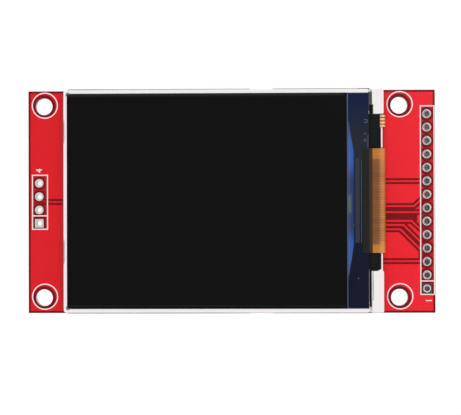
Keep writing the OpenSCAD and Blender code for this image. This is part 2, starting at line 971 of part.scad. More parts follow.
// Outline of the bead from above: full beside the chip, thin at both ends
module bead_plan_2d() {
    polygon([
        [0, -bead_l / 2], [bead_tip, -bead_l / 2], [bead_w, -bead_full / 2],
        [bead_w, bead_full / 2], [bead_tip, bead_l / 2], [0, bead_l / 2]
    ]);
}

module edge_bead() {
    color("royalblue")
        on_display()
            translate([glass_edge + filter_l, bead_y, filter_z])
                intersection() {
                    rotate([90, 0, 0])
                        linear_extrude(bead_l, center = true)
                            polygon(bead_outline(6));
                    linear_extrude(bead_h)
                        bead_plan_2d();
                }
}

// ----------------------------------------------------------------- tail

// Where a strip whose upper face lies at top_z starts to bend down
function bend_radius(top_z) = (top_z + foam_t - tail_solder_t) / 2;
function bend_start(top_z) = display_l + tail_out - bend_radius(top_z);

// A strip that leaves the display flat, bends round its end and comes to
// lie on the solder under it: x from the display's left end, top_z is the
// height of its upper face over the display's underside
module bent_strip(start_x, finish_x, top_z, width, thickness, lift = 0) {
    low_z = -foam_t + tail_solder_t;
    bend_r = bend_radius(top_z);
    bend_x = bend_start(top_z);
    outer_r = bend_r + lift;
    slab([start_x, bend_x], [-width / 2, width / 2], [top_z - thickness, top_z + lift]);
    slab([finish_x, bend_x], [-width / 2, width / 2], [low_z - lift, low_z + thickness]);
    translate([bend_x, 0, (top_z + low_z) / 2])
        rotate([90, 0, 0])
            translate([0, 0, -width / 2])
                rotate([0, 0, -90])
                    rotate_extrude(angle = 180, $fn = 64)
                        translate([bend_r - thickness, 0])
                            square([thickness + outer_r - bend_r, width]);
}

module display_tail() {
    color("peru")
        on_display() {
            bent_strip(tail_start, tail_finish, tail_top_z, tail_w, tail_t);
            for (i = [-(tail_lines - 1) / 2 : (tail_lines - 1) / 2])
                translate([0, i * tail_line_pitch])
                    bent_strip(tail_start + line_margin, bend_start(tail_top_z) - line_margin, tail_top_z,
                               line_w, tail_t, tail_line_t);
        }
}

// Solder lands under the end of the tail
module tail_solder() {
    color("silver")
        on_display()
            for (i = [-(tail_lands - 1) / 2 : (tail_lands - 1) / 2])
                translate([tail_finish, i * land_pitch])
                    slab([0.3, 0.3 + land_l], [-land_w / 2, land_w / 2], [-foam_t, -foam_t + tail_solder_t]);
}

// Black tape over the well beside and below the tail, and down the gap
// between the glass and the corner blocks
module shade_tape() {
    fit = 0.05;
    step_x = tray_end - block_l - block_step_l - fit;
    end_x = well_end - fit;
    tab_edge = tab_y - tab_side - fit;
    color("black")
        on_display()
            translate([0, 0, frame_floor])
                linear_extrude(shade_tape_t)
                    polygon([
                        [ring_end, 1 - frame_side], [step_x, 1 - frame_side], [step_x, well_bottom],
                        [end_x - 2 * gusset - fit, well_bottom], [end_x, well_bottom + gusset + fit],
                        [end_x, tab_edge], [step_x + block_step_l, tab_edge],
                        [step_x + block_step_l, top_step_y], [ring_end, top_step_y]
                    ]);
}

// ------------------------------------------------------------ backlight

// The pads of the lamp strip's tab, once each
module at_tab_pads() {
    for (i = [-(tab_pads - 1) / 2 : (tab_pads - 1) / 2])
        translate([0, tab_y + i * tab_pad_pitch])
            children();
}

// Strip that carries the lamps, with a tab that bends down to the board
module backlight_strip() {
    color("goldenrod")
        on_display() {
            slab([film_end + 2 * frame_fit, well_end - frame_fit], [well_bottom + gusset, tab_y + tab_w / 2],
                 [diffuser_z, frame_floor]);
            translate([0, tab_y])
                bent_strip(well_end - 2 * frame_fit, tab_finish, tab_top_z, tab_w, lamp_strip_t);
            at_tab_pads()
                bent_strip(frame_end, tab_finish + 1.6, tab_top_z, 0.62 * tab_pad_pitch,
                           lamp_strip_t, tab_pad_t);
        }
}

module strip_solder() {
    color("silver")
        on_display()
            at_tab_pads()
                slab([tab_finish, tab_finish + 1.3], [-0.2, 0.2], [-foam_t, -foam_t + tail_solder_t]);
}

// Side-facing lamp under the strip, against the light guide's edge
module lamp(index) {
    first = well_bottom + lamp_margin;
    last = tab_y + tab_w / 2 - lamp_margin - led_l;
    y = first + index * (last - first) / (led_count - 1);
    color("lightyellow")
        on_display()
            slab([lamp_x, lamp_x + led_w], [y, y + led_l], [diffuser_z - led_h, diffuser_z]);
}

// Foam tape between the display's tray and the board
module foam_tape(x) {
    side = display_side - foam_margin;
    color("dimgray")
        on_display()
            slab([x, x + foam_w], [-side, side], [-foam_t, 0]);
}

// ---------------------------------------------------------- card socket

// What follows, with the mouth at x = 0 and the board's back face at z = 0,
// the height of the socket counted upwards
module on_socket() {
    translate([socket_x, 0, 0])
        mirror([0, 0, 1])
            children();
}

// Outline of one contact seen from the side: solder foot, run under the
// block and sprung tip in the slot
function contact_outline() = [
    [socket_l + 1.3, 0], [socket_l + 1.3, contact_t], [socket_l + contact_t, contact_t],
    [socket_l + contact_t, socket_floor + contact_t], [contact_root_x, socket_floor + contact_t],
    [contact_bend_x, socket_floor + contact_rise], [contact_tip_x, socket_floor + 0.4],
    [contact_tip_x, socket_floor + 0.4 - contact_t],
    [contact_bend_x, socket_floor + contact_rise - contact_t],
    [contact_root_x, socket_floor], [socket_l, socket_floor], [socket_l, 0]
];

// What follows, once at each contact's place across the socket
module at_contacts() {
    for (i = [0 : contact_count - 1])
        translate([0, contact_first + i * contact_pitch])
            children();
}

module socket_contacts() {
    color("gold")
        on_socket()
            at_contacts()
                rotate([90, 0, 0])
                    linear_extrude(contact_w, center = true)
                        polygon(contact_outline());
}

// A stretch of the socket along x, from a section drawn across and up
module socket_run(from, to) {
    translate([from, 0, 0])
        rotate([90, 0, 90])
            linear_extrude(to - from)
                children();
}

// Inside of the shell: what the base may fill, with the shell's round bends
module shell_inside_2d() {
    side = socket_side - shell_t;
    soft_square([-side, side], [-shell_r, socket_h - shell_t], shell_r - shell_t);
}

// Part of a section below a height
module below_2d(height) {
    translate([-socket_w, height - 2 * socket_h])
        square([2 * socket_w, 2 * socket_h]);
}

// Black base: floor, side rails and a stop block at the back
module socket_base() {
    color("black")
        on_socket()
            difference() {
                union() {
                    socket_run(mouth_x, socket_l)
                        difference() {
                            shell_inside_2d();
                            translate([-slot_w / 2, -socket_h])
                                square([slot_w, 3 * socket_h]);
                            below_2d(0);
                        }
                    socket_run(floor_x, socket_l)
                        difference() {
                            shell_inside_2d();
                            translate([-socket_w, socket_floor])
                                square([2 * socket_w, socket_h]);
                            below_2d(0);
                        }
                    socket_run(socket_l - socket_block, socket_l)
                        difference() {
                            shell_inside_2d();
                            below_2d(0);
                        }
                }
                // contact runs, and windows in the floor under the tips
                at_contacts() {
                    slab([contact_root_x, socket_l + cut], [-contact_w / 2, contact_w / 2],
                         [socket_floor, socket_floor + contact_t]);
                    slab([contact_tip_x - cut, contact_root_x - 1.5],
                         [-contact_w / 2 - 0.2, contact_w / 2 + 0.2], [-cut, socket_floor + cut]);
                }
            }
}

// Solder foot of the shell: a strip that leaves the side wall flat on the board
module shell_foot() {
    socket_run(0, foot_l)
        polygon([
            [-shell_t, 0], [foot_w, 0], [foot_w, shell_t], [0, shell_t],
            [0, 2 * shell_edge_z], [-shell_t, 2 * shell_edge_z]
        ]);
}

// Slot that frees a spring tongue on three sides
module tongue_cut_2d() {
    side = tongue_w / 2;
    difference() {
        soft_square([0, tongue_l], [-side - tongue_gap, side + tongue_gap], 0.3);
        soft_square([tongue_gap, tongue_l + 1], [-side, side], 0.3);
    }
}

// Steel shell: a top bent round into two side walls, with two spring
// tongues, windows over the contacts, a round relief at the mouth and feet
module socket_shell() {
    top = socket_h - shell_t - cut;
    color("silver")
        on_socket()
            difference() {
                union() {
                    socket_run(0, shell_l)
                        difference() {
                            soft_square([-socket_side, socket_side], [-shell_r, socket_h], shell_r);
                            shell_inside_2d();
                            below_2d(shell_edge_z);
                        }
                    for (x = [mouth_x + 1, shell_l - foot_l - 1.6], side = [-1, 1])
                        translate([side > 0 ? x : x + foot_l, side * socket_side])
                            rotate(side > 0 ? 0 : 180)
                                shell_foot();
                }
                for (side = [-1, 1])
                    translate([tongue_x, side * tongue_y, top])
                        linear_extrude(shell_t + 2 * cut)
                            tongue_cut_2d();
                at_contacts()
                    slab([shell_l - 2.8, shell_l - 1.2], [-0.5, 0.5], [top, socket_h + cut]);
                translate([-mouth_x, 0, top])
                    cylinder(r = 3.4, h = shell_t + 2 * cut, $fn = 64);
                // side walls start a little behind the mouth
                slab([-cut, mouth_x], [-socket_side - cut, socket_side + cut], [-cut, socket_h - shell_r]);
            }
}

// ---------------------------------------------------------- small parts

// Moulded body of a three-legged package with sloping sides
module sot_body(place) {
    draft = 0.12;
    color("black")
        translate([place[0], place[1], 0])
            rotate([90, 0, 90])
                linear_extrude(sot_l, center = true)
                    polygon([
                        [-sot_w / 2 + draft, -0.1], [sot_w / 2 - draft, -0.1], [sot_w / 2, -sot_h / 2],
                        [sot_w / 2 - draft, -sot_h], [-sot_w / 2 + draft, -sot_h], [-sot_w / 2, -sot_h / 2]
                    ]);
}

// One bent leg, from the body's side to its solder foot
function leg_outline() = [
    [sot_w / 2, -sot_h / 2], [sot_w / 2 + 0.3, -sot_h / 2], [sot_w / 2 + 0.45, -0.15],
    [sot_w / 2 + 0.85, -0.15], [sot_w / 2 + 0.85, 0], [sot_w / 2 + 0.3, 0],
    [sot_w / 2 + 0.15, -sot_h / 2 + 0.15], [sot_w / 2 - 0.035, -sot_h / 2 + 0.15]
];

module sot_legs(place) {
    color("silver")
        translate([place[0], place[1], 0])
            for (leg = [[-0.95, 1], [0.95, 1], [0, -1]])
                translate([leg[0], 0])
                    rotate([90, 0, leg[1] * 90])
                        linear_extrude(0.4, center = true)
                            polygon(leg_outline());
}

module chip_body(place, height) {
    translate([place[0], place[1], 0])
        slab([end_w - chip_part_l / 2, chip_part_l / 2 - end_w], [-chip_part_w / 2, chip_part_w / 2],
             [-height, 0]);
}

module chip_resistors() {
    color("black")
        for (place = resistor_places)
            chip_body(place, resistor_h);
}

module chip_capacitors() {
    color("tan")
        for (place = capacitor_places)
            chip_body(place, capacitor_h);
}

module end_pair(place, height) {
    translate([place[0], place[1], 0])
        for (side = [-1, 1])
            translate([side * (chip_part_l - end_w) / 2, 0, -height / 2])
                cube([end_w, chip_part_w, height], center = true);
}

module chip_ends() {
    color("silver") {
        for (place = resistor_places)
            end_pair(place, resistor_h);
        for (place = capacitor_places)
            end_pair(place, capacitor_h);
    }
}

circuit_board();
front_legend();
back_legend();
card_header_pads();
spare_pads();
header_base();
header_pin(0);  // header_pin_01
header_pin(1);  // header_pin_02
header_pin(2);  // header_pin_03
header_pin(3);  // header_pin_04
header_pin(4);  // header_pin_05
header_pin(5);  // header_pin_06
header_pin(6);  // header_pin_07
header_pin(7);  // header_pin_08
header_pin(8);  // header_pin_09
header_pin(9);  // header_pin_10
header_pin(10);  // header_pin_11
header_pin(11);  // header_pin_12
header_pin(12);  // header_pin_13
header_pin(13);  // header_pin_14
solder_joints();
display_tray();
backlight_frame();
reflector_sheet();
light_guide();
diffuser_sheet();
lower_prism_sheet();
upper_prism_sheet();
rim_tape();
rear_polariser();
tft_glass();
colour_filter_glass();
front_polariser();
driver_chip();
edge_bead();
display_tail();
tail_solder();
shade_tape();
backlight_strip();
strip_solder();
lamp(0);  // lamp_1
lamp(1);  // lamp_2
lamp(2);  // lamp_3
lamp(3);  // lamp_4
foam_tape(foam_left);  // foam_tape_left
foam_tape(foam_right);  // foam_tape_right
socket_base();
socket_shell();
socket_contacts();
sot_body(regulator_at);  // regulator_body
sot_legs(regulator_at);  // regulator_legs
sot_body(transistor_at);  // transistor_body
sot_legs(transistor_at);  // transistor_legs
chip_resistors();
chip_capacitors();
chip_ends();
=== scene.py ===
"""Dresses the display module.

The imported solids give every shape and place. This script gives them their finishes, adds two
printed pin numbers and the metal marks on the glass, and sets the light, the floor and the
camera. Places and sizes are in millimetres, unless a line says otherwise.
"""
from __future__ import annotations

import json
import logging
import math
from dataclasses import dataclass, field
from enum import Enum
from typing import Any, NamedTuple, Sequence

import bpy
from mathutils import Euler, Matrix, Vector

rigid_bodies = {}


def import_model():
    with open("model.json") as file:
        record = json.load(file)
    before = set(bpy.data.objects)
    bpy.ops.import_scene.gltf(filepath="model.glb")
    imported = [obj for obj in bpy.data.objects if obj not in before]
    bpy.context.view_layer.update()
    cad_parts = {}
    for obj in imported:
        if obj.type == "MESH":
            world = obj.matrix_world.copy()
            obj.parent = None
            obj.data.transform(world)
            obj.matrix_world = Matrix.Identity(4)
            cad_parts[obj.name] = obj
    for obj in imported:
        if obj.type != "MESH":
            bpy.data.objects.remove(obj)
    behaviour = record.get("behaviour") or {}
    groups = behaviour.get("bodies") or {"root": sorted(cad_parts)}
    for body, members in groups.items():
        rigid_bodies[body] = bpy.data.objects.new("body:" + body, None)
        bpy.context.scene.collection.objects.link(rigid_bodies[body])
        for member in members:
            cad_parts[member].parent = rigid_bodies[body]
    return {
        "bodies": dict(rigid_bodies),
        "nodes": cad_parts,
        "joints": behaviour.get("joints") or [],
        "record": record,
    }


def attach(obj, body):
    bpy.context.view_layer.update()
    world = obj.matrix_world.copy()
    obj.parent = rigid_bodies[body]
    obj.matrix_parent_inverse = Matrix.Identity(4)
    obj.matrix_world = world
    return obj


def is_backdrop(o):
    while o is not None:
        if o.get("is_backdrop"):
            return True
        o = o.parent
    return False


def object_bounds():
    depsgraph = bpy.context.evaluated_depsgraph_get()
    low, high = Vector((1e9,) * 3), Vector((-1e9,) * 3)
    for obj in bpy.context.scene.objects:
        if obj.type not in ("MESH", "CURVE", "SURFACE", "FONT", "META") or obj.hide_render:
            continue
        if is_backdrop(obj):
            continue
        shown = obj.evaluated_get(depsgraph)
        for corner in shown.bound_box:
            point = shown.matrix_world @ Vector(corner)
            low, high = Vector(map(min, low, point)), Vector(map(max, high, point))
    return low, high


LOG = logging.getLogger("display_module")
MM = 0.001
BODY = "root"
Colour = tuple[float, float, float]


def tone(red: int, green: int, blue: int) -> Colour:
    """A colour given by its screen values, as linear light.

    Args:
        red: Screen value from 0 to 255.
        green: Screen value from 0 to 255.
        blue: Screen value from 0 to 255.

    Returns:
        The three parts in linear light, from 0 to 1.
    """
    def linear(value: int) -> float:
        """One part in linear light."""
        share = value / 255
        return share / 12.92 if share <= 0.04045 else ((share + 0.055) / 1.055) ** 2.4
    return linear(red), linear(green), linear(blue)


# ------------------------------------------------------------------ shader sums


class Sketch:
    """A node tree that is being drawn, for a material or for the world."""

    def __init__(self, tree: bpy.types.NodeTree) -> None:
        """Starts with an empty tree."""
        self.tree = tree
        tree.nodes.clear()

    def node(self, kind: str, settings: dict[str, Any] | None = None,
             sockets: dict[Any, Any] | None = None) -> bpy.types.Node:
        """Adds one node.

        Args:
            kind: The node's type.
            settings: Its settings, set first; "stops" fills a ramp with places and colours.
            sockets: Input sockets by name or number, each with a value or a wire.

        Returns:
            The new node.
        """
        made = self.tree.nodes.new(kind)
        for key, value in (settings or {}).items():
            if key == "stops":
                self._fill_ramp(made.color_ramp, value)
            else:
                setattr(made, key, value)
        for key, value in (sockets or {}).items():
            self._feed(made.inputs[key], value)
        return made

    def wire(self, kind: str, settings: dict[str, Any] | None = None,
             sockets: dict[Any, Any] | None = None, output: Any = 0) -> "Wire":
        """Adds one node and returns one of its outputs as a wire."""
        return Wire(self, self.node(kind, settings, sockets).outputs[output])

    def _feed(self, socket: bpy.types.NodeSocket, value: Any) -> None:
        """Links a wire to a socket, or sets the socket's value."""
        if isinstance(value, Wire):
            self.tree.links.new(value.socket, socket)
        elif isinstance(value, (tuple, list, Vector)) and socket.type == "RGBA":
            socket.default_value = (*value[:3], 1.0)
        else:
            socket.default_value = value

    @staticmethod
    def _fill_ramp(ramp: bpy.types.ColorRamp, stops: Sequence[tuple[float, Colour]]) -> None:
        """Gives a ramp its stops."""
        while len(ramp.elements) < len(stops):
            ramp.elements.new(1.0)
        for element, (place, colour) in zip(ramp.elements, stops):
            element.position = place
            element.color = (*colour, 1.0)

    def place(self) -> "Wire":
        """The place on the piece, in metres."""
        return self.wire("ShaderNodeTexCoord", output="Object")

    def parts(self, vector: "Wire") -> tuple["Wire", "Wire", "Wire"]:
        """A vector's three parts, in millimetres."""
        split = self.node("ShaderNodeSeparateXYZ", sockets={0: vector})
        x, y, z = (Wire(self, split.outputs[i]) * (1 / MM) for i in range(3))
        return x, y, z

    def facing(self) -> tuple["Wire", "Wire", "Wire"]:
        """The three parts of the surface's direction."""
        split = self.node("ShaderNodeSeparateXYZ",
                          sockets={0: self.wire("ShaderNodeNewGeometry", output="Normal")})
        return tuple(Wire(self, split.outputs[i]) for i in range(3))

    def noise(self, grain: float, detail: float = 3.0, stretch: Sequence[float] = (1, 1, 1),
              seed: float = 0.0) -> "Wire":
        """Cloudy noise from 0 to 1.

        Args:
            grain: Size of its patches, in millimetres.
            detail: Number of finer layers.
            stretch: How many times longer the patches are along each axis.
            seed: Shift that gives another pattern.

        Returns:
            The noise.
        """
        scaled = self.wire("ShaderNodeMapping", {}, {
            "Vector": self.place(), "Location": (seed, seed * 0.7, seed * 0.3),
            "Scale": tuple(1 / (grain * MM * share) for share in stretch)})
        return self.wire("ShaderNodeTexNoise", {}, {
            "Vector": scaled, "Scale": 1.0, "Detail": detail, "Roughness": 0.55}, "Fac")

    def ease(self, value: "Wire", low: float, high: float) -> "Wire":
        """Rises smoothly from 0 at low to 1 at high, or falls where high is the smaller."""
        return self.wire("ShaderNodeMapRange", {"interpolation_type": "SMOOTHSTEP"}, {
            "Value": value, "From Min": low, "From Max": high, "To Min": 0.0, "To Max": 1.0})

    def mix(self, share: Any, first: Any, second: Any, blend: str = "MIX") -> "Wire":
        """Mixes two colours."""
        return self.wire("ShaderNodeMix", {"data_type": "RGBA", "blend_type": blend}, {
            0: share, 6: first, 7: second}, 2)

    def ramp(self, share: "Wire", stops: Sequence[tuple[float, Colour]]) -> "Wire":
        """A colour looked up by a share from 0 to 1."""
        return self.wire("ShaderNodeValToRGB", {"stops": stops}, {0: share}, "Color")

    def shade(self, colour: Any, share: Any) -> "Wire":
        """A colour made lighter or darker by a share, where 1 leaves it as it is."""
        grey = self.wire("ShaderNodeCombineColor", {}, {0: share, 1: share, 2: share})
        return self.mix(1.0, colour, grey, "MULTIPLY")


@dataclass(frozen=True)
class Wire:
    """A node's output, on which sums are written as on a number."""

    sketch: Sketch
    socket: bpy.types.NodeSocket

    def _sum(self, operation: str, *values: Any) -> "Wire":
        """Adds one Math node."""
        return self.sketch.wire("ShaderNodeMath", {"operation": operation},
                                dict(enumerate(values)))

    def __add__(self, other: Any) -> "Wire":
        """Sum."""
        return self._sum("ADD", self, other)

    __radd__ = __add__

    def __sub__(self, other: Any) -> "Wire":
        """Difference."""
        return self._sum("SUBTRACT", self, other)

    def __rsub__(self, other: Any) -> "Wire":
        """Difference from a number."""
        return self._sum("SUBTRACT", other, self)

    def __mul__(self, other: Any) -> "Wire":
        """Product."""
        return self._sum("MULTIPLY", self, other)

    __rmul__ = __mul__

    def __truediv__(self, other: Any) -> "Wire":
        """Quotient."""
        return self._sum("DIVIDE", self, other)

    def __rtruediv__(self, other: Any) -> "Wire":
        """A number over this."""
        return self._sum("DIVIDE", other, self)

    def __pow__(self, other: Any) -> "Wire":
        """Power."""
        return self._sum("POWER", self, other)

    def __gt__(self, other: Any) -> "Wire":
        """1 where this is the larger, else 0."""
        return self._sum("GREATER_THAN", self, other)

    def __lt__(self, other: Any) -> "Wire":
        """1 where this is the smaller, else 0."""
        return self._sum("LESS_THAN", self, other)

    def __abs__(self) -> "Wire":
        """Size without its sign."""
        return self._sum("ABSOLUTE", self)

    def most(self, other: Any) -> "Wire":
        """The larger of the two."""
        return self._sum("MAXIMUM", self, other)

    def between(self, low: float, high: float) -> "Wire":
        """What runs from 0 to 1 here, spread out from low to high."""
        return self * (high - low) + low

    def wave(self, pitch: float) -> "Wire":
        """A wave from 0 to 1 that repeats at every pitch."""
        return self._sum("COSINE", self * (2 * math.pi / pitch)) * 0.5 + 0.5


@dataclass(frozen=True)
class Rise:
    """A soft step, from 0 at its start to 1 at its end; it falls where the end is the smaller."""

    start: float
    end: float

    def mask(self, value: Wire) -> Wire:
        """The step's height at a value."""
        return value.sketch.ease(value, self.start, self.end)


@dataclass(frozen=True)
class Span:
    """A stretch between two values, with soft ends."""

    low: float
    high: float
    soft: float = 0.05

    def mask(self, value: Wire) -> Wire:
        """1 within the stretch and 0 outside it."""
        return (Rise(self.low - self.soft, self.low + self.soft).mask(value)
                * Rise(self.high + self.soft, self.high - self.soft).mask(value))


@dataclass(frozen=True)
class Patch:
    """A rectangle seen from above, with soft sides."""

    across: Span
    along: Span

    def mask(self, x: Wire, y: Wire) -> Wire:
        """1 inside the rectangle and 0 outside it."""
        return self.across.mask(x) * self.along.mask(y)


# --------------------------------------------------------------------- finishes


@dataclass(frozen=True)
class Finish:
    """A surface of one material, with a little unevenness in colour, gloss and height."""

    name: str
    slot: str
    colour: Colour
    roughness: float = 0.5
    metallic: float = 0.0
    specular: float = 0.5
    coat: float = 0.0
    coat_roughness: float = 0.08
    transmission: float = 0.0
    ior: float = 1.5
    mottle: float = 0.04
    mottle_grain: float = 3.0
    uneven_gloss: float = 0.05
    bump_height: float = 0.004
    bump_grain: float = 0.25
    stretch: tuple[float, float, float] = (1, 1, 1)

    def tint(self, sketch: Sketch) -> Wire:
        """Base colour: the material's own, a little lighter and darker in patches."""
        cloud = sketch.noise(self.mottle_grain, stretch=self.stretch)
        return sketch.shade(self.colour, cloud.between(1 - self.mottle, 1 + self.mottle))

    def gloss(self, sketch: Sketch) -> Wire:
        """Roughness, uneven in small patches."""
        cloud = sketch.noise(self.bump_grain * 4, stretch=self.stretch, seed=3.1)
        return cloud.between(self.roughness - self.uneven_gloss, self.roughness + self.uneven_gloss)

    def height(self, sketch: Sketch) -> Wire:
        """Height of the fine bumps, from 0 to 1."""
        return sketch.noise(self.bump_grain, stretch=self.stretch, seed=7.7)

    def material(self) -> bpy.types.Material:
        """Draws the material.

        Returns:
            The new material.
        """
        made = bpy.data.materials.new(self.name)
        made.use_nodes = True
        sketch = Sketch(made.node_tree)
        bump = sketch.wire("ShaderNodeBump", {}, {
            "Strength": 1.0, "Distance": self.bump_height * MM, "Height": self.height(sketch)})
        surface = sketch.wire("ShaderNodeBsdfPrincipled", {}, {
            "Base Color": self.tint(sketch), "Roughness": self.gloss(sketch),
            "Metallic": self.metallic, "Specular IOR Level": self.specular,
            "Coat Weight": self.coat, "Coat Roughness": self.coat_roughness, "IOR": self.ior,
            "Transmission Weight": self.transmission, "Normal": bump})
        sketch.node("ShaderNodeOutputMaterial", {}, {"Surface": surface})
        return made


@dataclass(frozen=True)
class SolderMask(Finish):
    """Red mask over copper and over bare laminate, with the board's cut edge and painted light that
    darkens its left end and brightens its right end.
    """

    bare: Colour = tone(126, 8, 18)
    cut: Colour = tone(178, 78, 66)
    # Painted light: the left stop is darker and the right stop brighter, so the board looks lit from
    # the right.
    left: Colour = tone(224, 20, 32)
    right: Colour = tone(242, 30, 46)
    left_end: float = -37.0
    length: float = 78.0
    own_share: float = 0.6
    board_t: float = 1.6
    relief_t: float = 0.04
    pin_header: Patch = Patch(Span(37.6, 40.2), Span(-17.8, 18.0))
    card_header: Patch = Patch(Span(-36.0, -33.1), Span(-5.3, 5.1))
    header_shade: float = 0.36
    flat_limit: float = 0.5

    def on_copper(self, sketch: Sketch) -> Wire:
        """1 on the raised copper of either face."""
        _, _, z = sketch.parts(sketch.place())
        return abs(z - self.board_t / 2) > self.board_t / 2 - self.relief_t / 2

    def tint(self, sketch: Sketch) -> Wire:
        """Brighter over copper, dark over laminate, tan where the board is cut, with painted light
        darker at the left end and brighter at the right.
        """
        x, y, _ = sketch.parts(sketch.place())
        # Painted light: a ramp from the darker left end through the mask's own red to the brighter
        # right end.
        copper = sketch.ramp((x - self.left_end) / self.length, [
            (0, self.left), (self.own_share, self.colour), (1, self.right)])
        headers = self.pin_header.mask(x, y).most(self.card_header.mask(x, y))
        cloud = sketch.noise(2.2).between(0.97, 1.03)
        copper = sketch.shade(copper, cloud * (1 - headers * self.header_shade))
        bare = sketch.shade(self.bare, sketch.noise(0.5).between(0.85, 1.15))
        face = sketch.mix(self.on_copper(sketch), bare, copper)
        _, _, up = sketch.facing()
        fibres = sketch.noise(0.25, stretch=(6, 6, 1)).between(0.7, 1.2)
        return sketch.mix(abs(up) < self.flat_limit, face, sketch.shade(self.cut, fibres))

    def height(self, sketch: Sketch) -> Wire:
        """The mask's faint ripple."""
        return sketch.noise(0.6, detail=2)


@dataclass(frozen=True)
class DarkGlass(Finish):
    """Glass ledge: smoky in the middle, with a navy cast that changes along it."""

    deep: Colour = tone(22, 24, 36)
    navy: Colour = tone(24, 34, 66)
    teal: Colour = tone(20, 44, 54)
    hidden: Colour = tone(14, 14, 15)
    lower_end: float = -21.0
    length: float = 42.0
    beside_chip: Patch = Patch(Span(26.15, 26.5, 0.06), Span(-8.0, 8.0, 0.4))
    ledge_start: float = 23.9
    ledge_soft: float = 0.1

    def tint(self, sketch: Sketch) -> Wire:
        """Navy at the upper end, smoky in the middle, nearly black at the lower end."""
        x, y, _ = sketch.parts(sketch.place())
        ledge = sketch.ramp((y - self.lower_end) / self.length, [
            (0, self.deep), (0.3, self.deep), (0.5, self.colour), (0.78, self.colour),
            (0.95, self.navy)])
        cloud = sketch.noise(2.4, stretch=(1, 2.5, 1), seed=2.0)
        ledge = sketch.mix(cloud * 0.5, ledge, self.navy)
        ledge = sketch.mix(self.beside_chip.mask(x, y) * 0.8, ledge, self.teal)
        open_part = Rise(self.ledge_start - self.ledge_soft, self.ledge_start)
        return sketch.mix(open_part.mask(x), self.hidden, ledge)


@dataclass(frozen=True)
class FilterGlass(DarkGlass):
    """Upper glass: black under the polariser, with a pale ground edge at the ledge."""

    edge: Colour = tone(78, 88, 116)
    edge_w: float = 0.24
    edge_soft: float = 0.08
    bright_end: Rise = Rise(12.0, 19.0)

    def tint(self, sketch: Sketch) -> Wire:
        """A blue-grey line along the edge, brighter at its upper end."""
        x, y, _ = sketch.parts(sketch.place())
        streak = sketch.noise(0.8, stretch=(1, 4, 1), seed=5.0).between(0.6, 1.3)
        pale = sketch.shade(self.edge, streak + self.bright_end.mask(y) * 0.35)
        start = self.ledge_start - self.edge_w
        return sketch.mix(Rise(start, start + self.edge_soft).mask(x), self.colour, pale)


@dataclass(frozen=True)
class Polariser(Finish):
    """Black film, with a paler upper rim and a broken pale line along its lower edge."""

    rim: Colour = tone(44, 44, 46)
    half_w: float = 20.16
    middle_y: float = 0.1
    rim_w: float = 0.7
    rim_inset: float = 0.05
    rim_share: float = 0.8
    line_inset: float = 0.5
    line_w: float = 0.16
    line_soft: float = 0.08

    def tint(self, sketch: Sketch) -> Wire:
        """Nearly black, paler at the upper rim and in the line."""
        _, y, _ = sketch.parts(sketch.place())
        off = y - self.middle_y
        rim = Rise(self.half_w - self.rim_w, self.half_w - self.rim_inset)
        line_y = self.line_inset - self.half_w
        line = Span(line_y - self.line_w / 2, line_y + self.line_w / 2, self.line_soft)
        streak = sketch.noise(4.0, stretch=(4, 1, 1), seed=2.2)
        body = sketch.shade(self.colour, sketch.noise(9.0).between(0.9, 1.1))
        pale = (rim.mask(off) * self.rim_share).most(line.mask(off) * streak)
        return sketch.mix(pale, body, self.rim)


@dataclass(frozen=True)
class BlueResin(Finish):
    """Translucent blue resin, with a painted reflection that brightens it at two stretches."""

    # The dull blue is the resin's own colour; the bright blue finish colour is a painted reflection.
    dull: Colour = tone(20, 44, 98)
    moss: Colour = tone(74, 96, 84)
    # Painted reflection: the two stretches where the bead looks bright blue.
    upper_reflection: Span = Span(5.5, 12.5, 2.0)
    lower_reflection: Span = Span(-12.5, -6.5, 2.0)
    mossy: Span = Span(-2.1, 1.1, 0.35)
    mossy_side: Rise = Rise(24.8, 24.2)
    outer_side: Rise = Rise(24.75, 25.0)

    def tint(self, sketch: Sketch) -> Wire:
        """Painted reflection makes it bright blue above and below; dull blue and a mossy patch in the
        middle.
        """
        x, y, _ = sketch.parts(sketch.place())
        # Painted reflection: mask of the two stretches where the bead reflects bright blue.
        glow = self.upper_reflection.mask(y).most(self.lower_reflection.mask(y))
        cloud = sketch.noise(1.2, stretch=(1, 3, 1), seed=1.4).between(0.7, 1.2)
        body = sketch.mix(glow * cloud, self.dull, self.colour)
        body = sketch.mix(self.outer_side.mask(x) * 0.5, body, self.dull)
        patch = self.mossy.mask(y) * self.mossy_side.mask(x)
        return sketch.mix(patch * 0.85, body, self.moss)


